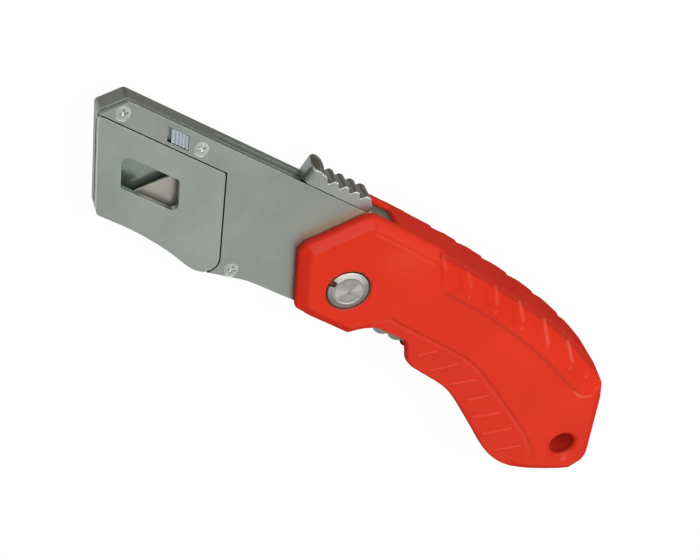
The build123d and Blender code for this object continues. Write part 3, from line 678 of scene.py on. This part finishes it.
def bands(x, y):
    """Masks of a cheek's two bands: above the upper edge and below the lower edge, each starting
    and ending softly along X."""
    above = step(-0.4, 0.4, y - line_at(UPPER_EDGE, x))
    above *= step(15.2, 16.4, x) * step(88, 86, x)
    below = step(0.25, -0.25, y - line_at(LOWER_EDGE, x))
    below *= step(9.5, 14.0, x) * step(85, 78, x)
    return above, below


def ridges(x, y):
    """Heights 0..1 of the upper ribs, the upper creases, the lower ribs and the lower groove. The
    upper ribs reach their own strengths, and each ends in a small bead."""

    def highest(lines, half):
        """The highest of some ridges, each falling from 1 on its line to 0 at half its width."""
        return np.max([step(half, 0.0, away(x, y, line)) for line in lines], axis=0)

    upper = [power * step(0.8, 0.0, away(x, y, (a, b))) for a, b, power in UPPER_RIBS]
    beads = np.min([from_point(x, y, end) for end in RIB_ENDS], axis=0)
    upper = np.maximum(np.max(upper, axis=0), 0.7 * step(0.8, 0.2, beads))
    groove = step(0.7, 0.0, away(x, y, LOWER_EDGE)) * step(10, 14, x) * step(85, 80, x)
    return upper, highest(CREASES, 0.8), highest(LOWER_RIBS, 0.7), groove


def belly_line(x, y):
    """The lowest Y of the points in each cell of X, as a table of X and Y."""
    cells = np.arange(8.0, 88.0, CELL)
    lowest = [y[(x >= cell) & (x < cell + CELL)].min(initial=0.0) for cell in cells]
    return np.stack([cells + CELL / 2, lowest], -1)


def carved(x, y, height, rise):
    """A cheek's height in mm after carving. The upper band stands proud by rise along its edge
    and falls to the spine. The lower band starts at a groove and falls to the belly. Ribs stand
    up in both bands, creases run beside the upper ones, and a dish surrounds the lanyard hole."""
    above, below = bands(x, y)
    upper, crease, lower, groove = ridges(x, y)
    edge, spine = line_at(UPPER_EDGE, x), line_at(SPINE, x)
    run = np.clip((y - edge) / np.maximum(spine - edge, 1.0), 0.0, 1.0)
    band = FACE + rise - UPPER_FALL * run**1.4 + UPPER_RIB * upper * run - CREASE * crease
    result = height + above * (band - height)
    edge, belly = line_at(LOWER_EDGE, x), line_at(belly_line(x, y), x)
    run = np.clip((edge - y) / np.maximum(edge - belly, 1.0), 0.0, 1.0)
    band = FACE - LOWER_DROP - LOWER_FALL * run**1.2 + LOWER_RIB * lower
    result += below * (np.minimum(band, FACE) - height) - GROOVE * groove
    return result - DISH * step(4.9, 3.4, from_point(x, y, LANYARD))


def refined(mesh):
    """Halves the net's quads on the outer faces along the ribs, creases and bands' edges."""
    with edited(mesh) as work:
        work.faces.ensure_lookup_table()
        x, y, z = local([face.calc_center_median()[:] for face in work.faces]).T
        wanted = (away(x, y, UPPER_EDGE) < 0.9) | (np.max(ridges(x, y), axis=0) > 0)
        wanted &= (np.abs(z) > 5.9) & (x > 8)
        edges = {edge for index in np.flatnonzero(wanted) for edge in work.faces[index].edges}
        bmesh.ops.subdivide_edges(work, edges=list(edges), cuts=1, use_grid_fill=True)
    return mesh


def highlight_and_shade_marks(x, y, side):
    """Painted highlight and painted shade, 0..1, where side is 1. The painted highlight lightens
    the ribs, the groove's lower wall, the upper band's rear end, the front bevel's inner line, a
    spot by the lanyard hole and, faintly, a patch of sheen over the pivot. The painted shade
    darkens the bands' edges, the creases, the lower band, the strip along the spine and the lanyard
    hole's rim, and on any face the pivot's recess."""
    above, below = bands(x, y)
    upper, crease, lower, _ = ridges(x, y)
    painted_highlight = [
        0.42 * np.minimum(upper, 1.3) * above,
        0.17 * lower * below,
        0.12 * step(0.7, 0.1, away(x, y + 0.75, LOWER_EDGE)) * below,
        0.5 * step(0.7, 0.0, away(x, y, BAND_END)),
        0.22 * step(0.6, 0.0, away(x, y, FRONT_BEVEL)),
        0.6 * step(1.1, 0.3, from_point(x, y, LANYARD_SPOT)),
        0.09 * step(7.0, 0.0, np.hypot((x - 8) / 1.6, y - 13.5)),
    ]
    painted_shade = [
        0.4 * step(0.9, 0.0, away(x, y, UPPER_EDGE[4:-3])),
        0.2 * crease * above,
        0.3 * step(0.9, 0.1, away(x, y, LOWER_EDGE[2:])),
        0.05 * below,
        0.6 * step(1.9, 1.1, line_at(SPINE, x) - y) * step(14, 20, x) * step(86, 80, x),
        0.7 * step(4.4, 3.3, from_point(x, y, LANYARD)),
    ]
    recess = step(RECESS_RADIUS + 0.1, RECESS_RADIUS - 0.2, np.hypot(x, y))
    return np.max(painted_highlight, axis=0) * side, np.maximum(np.max(painted_shade, axis=0) * side, recess)


def handle_mesh():
    """The casting as an even net whose two outer faces are carved, and whose lock pocket is
    deeper, so that the net's soft corners clear the leaf, with its attributes of painted highlight
    and painted shade."""
    mesh = refined(cast_copy("handle_casting", NET, NET_ROUNDS))
    points = local(vectors(mesh.vertices, "co"))
    x, y, z = points.T
    height = np.abs(z)
    outer = step(5.6, 6.3, height)
    rise = np.where(z > 0, SHOW_RISE, 0.0)
    points[:, 2] = np.sign(z) * (height + outer * (carved(x, y, height, rise) - height))
    pocket = (z < 0) & within(height, 5.0, 6.3) & within(x, 14, 68) & within(y, -14, 3)
    points[:, 2] -= POCKET_DEPTH * pocket
    mesh.vertices.foreach_set("co", place(points).ravel())
    # painted highlight and painted shade, kept as attributes for the enamel
    for name, values in zip(("painted_highlight", "painted_shade"), highlight_and_shade_marks(x, y, step(5.4, 6.2, height))):
        mesh.attributes.new(name, "FLOAT", "POINT").data.foreach_set("value", values)
    mesh.update()
    return mesh


def handle_kinds(mesh):
    """Which finish each of the casting's faces takes: walls the dull enamel of the sides, a little
    darker as painted shade, bevels that face the belly or the tail the flat enamel, and the recess
    round the pivot's head a dark brown painted shade."""
    facing_x, facing_y, facing_z = vectors(mesh.polygons, "normal").T
    x, y, z = local(vectors(mesh.polygons, "center")).T
    bevel = (facing_y < -0.3) | (facing_x > 0.35)
    kind = np.where(np.abs(facing_z) < 0.5, SIDE, np.where(bevel, FLAT, SHOWN))
    recess = (np.hypot(x, y) < RECESS_RADIUS) & (np.abs(z) > 4.5)
    return np.where(recess, SHADED_RECESS, kind).astype(np.int32)


def make_handle():
    """The carved casting, with its four finishes in their slots."""
    mesh = handle_mesh()
    kinds = handle_kinds(mesh)
    first, *others = HANDLE_FINISHES
    stand_in("handle_shell", mesh, "handle_casting", "handle", first, angle=0)
    for finish in others:
        mesh.materials.append(finish)
    mesh.polygons.foreach_set("material_index", kinds)


make_handle()


# --- pivot head --------------------------------------------------------------------------------
HEAD_TURNS = 256  # points round the pivot's head
HEAD_RADIUS, SHANK_RADIUS, HEAD_DEPTH = 5.5, 3.0, 1.6
DISC_RADIUS, DISC_DROP = 3.6, 0.12
DIMPLE_RADIUS, DIMPLE_DEPTH = 0.7, 0.10
RIM_START, RIM_DROP, RIM_SLOPE = 4.0, 0.01, 0.34
NOTCH_HALF, NOTCH_FLAT = 0.8, -4.1


def lathe(profile, sides):
    """Profile points (radius, height) carried round the Z axis."""
    profile = np.asarray(profile, float)
    angle = np.linspace(0.0, 2 * math.pi, sides, endpoint=False)[:, None]
    radius, height = profile[:, 0], profile[:, 1] + 0 * angle
    return np.stack([radius * np.cos(angle), radius * np.sin(angle), height], -1)


def turning_map(mesh, sides, length):
    """UV map of a lathe's grid: U runs once round and V runs along the profile, 0 to 1."""
    u, v = np.meshgrid(np.arange(sides), np.arange(length - 1), indexing="ij")
    steps = ((0, 0), (1, 0), (1, 1), (0, 1))
    corners = np.stack([np.stack([u + i, v + j], -1) for i, j in steps], -2)
    layer = mesh.uv_layers.new(name="turning")
    layer.data.foreach_set("uv", (corners / (sides, length - 1)).astype(np.float32).ravel())


def pivot_mesh():
    """Turned head with a small centre dimple, a wide sloping rim and a keyed notch, then the
    shank. The notch pulls points near the -X side in to a flat."""
    low, high = (local(corner)[2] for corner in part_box("pivot_barrel"))

    def disc(radius):
        """The inner disc: flat, with a bell-shaped dimple in its middle."""
        return high - DISC_DROP - DIMPLE_DEPTH * math.exp(-((radius / DIMPLE_RADIUS) ** 2))

    def rim(radius):
        """The rim: a straight slope outwards."""
        return high - RIM_DROP - RIM_SLOPE * (radius - RIM_START)

    under = high - HEAD_DEPTH
    profile = [(r, disc(r)) for r in np.linspace(0, DISC_RADIUS, 48)]
    profile += [(3.7, high - 0.06), (3.85, high), (RIM_START, high - RIM_DROP)]
    profile += [(r, rim(r)) for r in np.linspace(4.1, 5.3, 12)]
    profile += [(5.42, high - 0.55), (HEAD_RADIUS, high - 0.75), (HEAD_RADIUS, under)]
    profile += [(SHANK_RADIUS, under), (SHANK_RADIUS, low), (0.0, low)]
    points = lathe(profile, HEAD_TURNS)
    x, y, z = points[..., 0], points[..., 1], points[..., 2]
    notch = (np.abs(y) < NOTCH_HALF) & (x < NOTCH_FLAT) & (z > under - 0.05)
    points[..., 0] = np.where(notch, NOTCH_FLAT, x)
    mesh = grid_mesh("pivot_head", place(points), closed_u=True)
    turning_map(mesh, HEAD_TURNS, len(profile))
    return closed(mesh)


stand_in("pivot_head", pivot_mesh(), "pivot_barrel", "handle", TURNED)


# --- cross-head screws -------------------------------------------------------------------------
SCREW_SPOTS = [((-75.9, 16.2), 0.5), ((-54.4, 16.3), 0.9), ((-28.4, -9.6), 0.2)]  # centre and turn
SCREW_TURNS = 120  # points round a screw's head
CROWN_RADIUS, CROWN_DROP = 1.98, 0.12


def screw_points(centre, top, turn):
    """Countersunk head: a crowned disc with a cross recess, its cone and its shank. The recess is
    the union of two tapered bars, deepest at the middle."""
    radii = np.concatenate([np.linspace(0.0, 1.6, 32), np.linspace(1.65, CROWN_RADIUS, 6)])
    points = lathe([(r, 0.0) for r in radii], SCREW_TURNS)
    x, y = points[..., 0], points[..., 1]
    u = np.abs(x * math.cos(turn) + y * math.sin(turn))
    v = np.abs(-x * math.sin(turn) + y * math.cos(turn))
    bars = np.maximum(
        step(0.30, 0.18, u) * step(1.15, 0.95, v), step(0.30, 0.18, v) * step(1.15, 0.95, u)
    )
    r = np.hypot(x, y)
    crown = top - 0.04 - CROWN_DROP * (r / CROWN_RADIUS) ** 2
    points[..., 2] = crown - bars * (0.75 - 0.35 * r)
    cone = [(2.0, top - 0.24), (0.7, top - 1.4), (0.7, top - 4.6), (0.0, top - 4.6)]
    points = np.concatenate([points, lathe(cone, SCREW_TURNS)], axis=1)
    return points + np.array([*centre, 0.0])


def screws_mesh():
    """The three cover screws, level with the CAD's, as one mesh."""
    top = local(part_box("cover_screws")[1])[2]
    heads = [
        grid_mesh("screw", place(screw_points(centre, top, turn)), closed_u=True)
        for centre, turn in SCREW_SPOTS
    ]
    return joined(bpy.data.meshes.new("screws"), heads)


stand_in("cover_screw_heads", screws_mesh(), "cover_screws", "head", SCREW)


# --- plates, body, door and latch with eased edges ---------------------------------------------
SEAM = 1.7  # height of the joint between the body and the plates


def seated(spot):
    """Edges of the plates' inner faces."""
    return spot[2] < SEAM + 0.15


def covered(spot):
    """Edges of the body's seam face that the plates cover: all but those at the nose's top."""
    return spot[2] > SEAM - 0.15 and (spot[0] > -72 or spot[1] < 13.3)


def nowhere(spot):
    """No edge at all."""
    return False


EASED = [  # piece, node, body, slot, finish, width of the easing, and the edges kept sharp
    ("head_cover_plate", "head_cover", "head", "head_steel", PLATE, 0.16, seated),
    ("head_body_shell", "head_body", "head", "head_steel", BODY, 0.14, covered),
    ("door_plate", "blade_door", "door", "head_steel", DOOR, 0.2, seated),
    ("latch_pad", "latch_button", "latch", "slider_zinc", LATCH, 0.06, nowhere),
    ("liner_leaf", "lock_liner", "lock", "liner_steel", LINER, 0.12, nowhere),
]
for name, node, body, slot, finish, width, keep in EASED:
    stand_in(name, eased_copy(node, width, keep), node, body, finish)


# --- thumb slider ------------------------------------------------------------------------------
FRONT, BACK = -27.0, -6.3  # its ends in X
BASE, BUMP, TOOTH, ROOT = 19.7, 25.0, 23.3, 21.8  # heights in Y
HALF_WIDTH = 3.2
TEETH_START, PITCH = -20.9, 3.3
CREST_RADIUS, NOSE_RADIUS, FRONT_RADIUS, BACK_RADIUS = 0.42, 1.2, 2.0, 0.5
STEM_ENDS, STEM_MIDDLE = (-26.8, -7.2), 15.9
STEM_CORNER, STEM_RADIUS, STEM_HALF = (0.75, 3.9), 0.2, 0.95


def rounding(inwards, radius):
    """How far a quarter circle draws in, from its whole radius at inwards = radius to nothing at
    0: radius less the square root of radius squared less inwards squared."""
    return radius - np.sqrt(radius**2 - np.clip(inwards, 0.0, radius) ** 2)


def slider_top(x):
    """Height of the slider's top at each X: a bump with a steep back and four raked teeth,
    averaged over 0.8 mm to round them, and rounded down at the front."""
    line = [(FRONT, BUMP - 0.2), (-24.6, BUMP), (-22.9, 24.5), (-21.3, 22.6), (-20.7, ROOT)]
    for tooth in range(4):
        start = TEETH_START + PITCH * tooth
        line += [(start + 1.15, TOOTH), (start + 2.64, TOOTH), (start + PITCH, ROOT)]
    line[-1] = (BACK, BASE + 1.5)
    line = np.array(line)
    top = np.mean([line_at(line, x + shift) for shift in np.linspace(-0.4, 0.4, 15)], axis=0)
    return top - rounding(NOSE_RADIUS - (x - FRONT), NOSE_RADIUS)


def near_fall(x):
    """How far the near crest falls below the far one: a millimetre over the bump."""
    return step(-21.6, -23.4, x) * step(-27.2, -26.0, x)


def slider_half(x):
    """Half width at each X, drawn in along a quarter circle at the front and one at the back."""
    ahead = rounding(FRONT_RADIUS - (x - FRONT), FRONT_RADIUS)
    return HALF_WIDTH - ahead - rounding(x - BACK + BACK_RADIUS, BACK_RADIUS)


def capped(points):
    """Closes each end of a row of sections to a point in the end section's own plane."""
    ends = [np.broadcast_to(row.mean(0), row.shape)[None] for row in (points[0], points[-1])]
    return np.concatenate([ends[0], points, ends[1]])


def cap_points():
    """Sections across the slider, one at each X: up the near side, round a crest, over the top
    and down the far side."""
    x = np.concatenate(
        [
            FRONT + FRONT_RADIUS * np.linspace(0, 1, 24) ** 2,
            np.linspace(-24.9, -6.85, 260),
            BACK - BACK_RADIUS * np.linspace(1, 0, 9) ** 2,
        ]
    )[:, None]
    half, far = slider_half(x), slider_top(x)
    near = far - near_fall(x)
    up = np.linspace(0, 1, 14)[:-1]
    turn = np.linspace(0, math.pi / 2, 9)
    over = np.linspace(1, -1, 22)[1:-1]

    def side(top):
        """Heights of a straight wall up to the crest, and of the crest's quarter circle."""
        bend = top - CREST_RADIUS
        return BASE + up * (bend - BASE), bend + CREST_RADIUS * np.sin(turn)

    (near_wall, near_crest), (far_wall, far_crest) = side(near), side(far)
    flat = far + (near - far) * step(-0.6, 1.0, over)
    wall_z = half + 0 * near_wall
    crest_z = half - CREST_RADIUS + CREST_RADIUS * np.cos(turn)
    flat_z = over * (half - CREST_RADIUS)
    y = np.hstack([near_wall, near_crest, flat, far_crest[:, ::-1], far_wall[:, ::-1]])
    z = np.hstack([wall_z, crest_z, flat_z, -crest_z[:, ::-1], -wall_z])
    return np.stack([x + 0 * y, y, z], -1)


def stem_points():
    """The stem below: a narrow rectangle with small round corners, carried along X."""
    angle = np.linspace(0, 2 * math.pi, 40, endpoint=False)
    circle = np.stack([np.cos(angle), np.sin(angle)], -1)
    z, y = (np.sign(circle) * STEM_CORNER + STEM_RADIUS * circle).T
    z, y = np.clip(z, -STEM_HALF, STEM_HALF), y + STEM_MIDDLE
    return np.stack([np.stack([np.full_like(y, end), y, z], -1) for end in STEM_ENDS])


def slider_mesh():
    """The slider's cap and stem, both with closed ends, as one mesh."""
    cap, stem = (
        grid_mesh(name, place(capped(points)), closed_v=True)
        for name, points in (("slider", cap_points()), ("stem", stem_points()))
    )
    return joined(cap, [stem])


stand_in("slider_cap", slider_mesh(), "thumb_slider", "carriage", ZINC, angle=50)


# --- floor, light and camera -------------------------------------------------------------------
FLOOR_HALF, FLOOR_DROP = 3.0, 0.0001  # metres
FLOOR_GREY, WHITE = (0.55, 0.55, 0.55, 1), (1, 1, 1, 1)
FLOOR_GLOW, GLOW_SHARE = 1.06, 0.9
LAMPS = {  # place, width and watts
    "key": ((-0.05, 0.33, 0.85), 0.8, 3.95),
    "front": ((-0.45, 0.28, 0.62), 0.3, 0.6),
    "rim": ((0.42, 0.44, 0.48), 0.25, 0.5),
    "side": ((0.5, -0.34, 0.6), 0.6, 0.4),
}
WORLD_LIGHT = 0.38
CAMERA_SPOT = (-235.47, 163.13, 344.72)
CAMERA_RIGHT = (0.776, 0.5717, 0.2666)
CAMERA_UP = (-0.3405, 0.7354, -0.5858)
CAMERA_BACK = (-0.5309, 0.3638, 0.7653)
SENSOR, LENS = 36.0, 90.94


def make_floor():
    """A pale square just under the object. What looks at it sees mostly an even white glow, and
    the grey paint under that keeps the object's shadow."""
    mesh = bpy.data.meshes.new("floor")
    corners = [(x * FLOOR_HALF, y * FLOOR_HALF, 0) for x, y in ((-1, -1), (1, -1), (1, 1), (-1, 1))]
    mesh.from_pydata(corners, [], [(0, 1, 2, 3)])
    floor = bpy.data.objects.new("floor", mesh)
    floor.location.z = -FLOOR_DROP
    bpy.context.collection.objects.link(floor)
    material = bpy.data.materials.new("floor_white")
    material.use_nodes = True
    tree = material.node_tree
    tree.nodes.clear()
    n = Nodes(tree)
    path = n.add("ShaderNodeLightPath").outputs
    seen = n.math("MAXIMUM", path["Is Camera Ray"], path["Is Glossy Ray"])
    seen = n.math("MAXIMUM", seen, path["Is Transmission Ray"])
    paint = n.add("ShaderNodeBsdfDiffuse", {"Color": FLOOR_GREY})
    glow = n.add("ShaderNodeEmission", {"Color": WHITE, "Strength": FLOOR_GLOW})
    share = n.math("MULTIPLY", seen, GLOW_SHARE)
    mixed = n.add("ShaderNodeMixShader", {0: share, 1: paint.outputs[0], 2: glow.outputs[0]})
    tree.links.new(mixed.outputs[0], n.add("ShaderNodeOutputMaterial").inputs[0])
    mesh.materials.append(material)


def make_lamp(name, position, width, watts):
    """A round lamp that looks at the row frame's middle."""
    lamp = bpy.data.lights.new(name, "AREA")
    lamp.shape = "DISK"
    lamp.size = width
    lamp.energy = watts
    obj = bpy.data.objects.new(name, lamp)
    obj.location = position
    obj.rotation_euler = (-Vector(position)).to_track_quat("-Z", "Y").to_euler()
    bpy.context.collection.objects.link(obj)


def make_camera():
    """The camera over the nose, its axes given as directions in the row frame."""
    data = bpy.data.cameras.new("camera")
    data.sensor_width = SENSOR
    data.lens = LENS
    data.clip_start = 0.01
    camera = bpy.data.objects.new("camera", data)
    axes = Matrix((CAMERA_RIGHT, CAMERA_UP, CAMERA_BACK)).transposed().to_4x4()
    camera.matrix_world = Matrix.Translation(Vector(place(CAMERA_SPOT))) @ axes
    bpy.context.collection.objects.link(camera)
    bpy.context.scene.camera = camera


def make_world():
    """An even white world, shown as it is."""
    scene = bpy.context.scene
    scene.world = bpy.data.worlds.new("studio")
    scene.world.use_nodes = True
    background = scene.world.node_tree.nodes["Background"]
    background.inputs[0].default_value = WHITE
    background.inputs[1].default_value = WORLD_LIGHT
    scene.view_settings.view_transform = "Standard"


make_floor()
for name, (position, width, watts) in LAMPS.items():
    make_lamp(name, position, width, watts)
make_camera()
make_world()
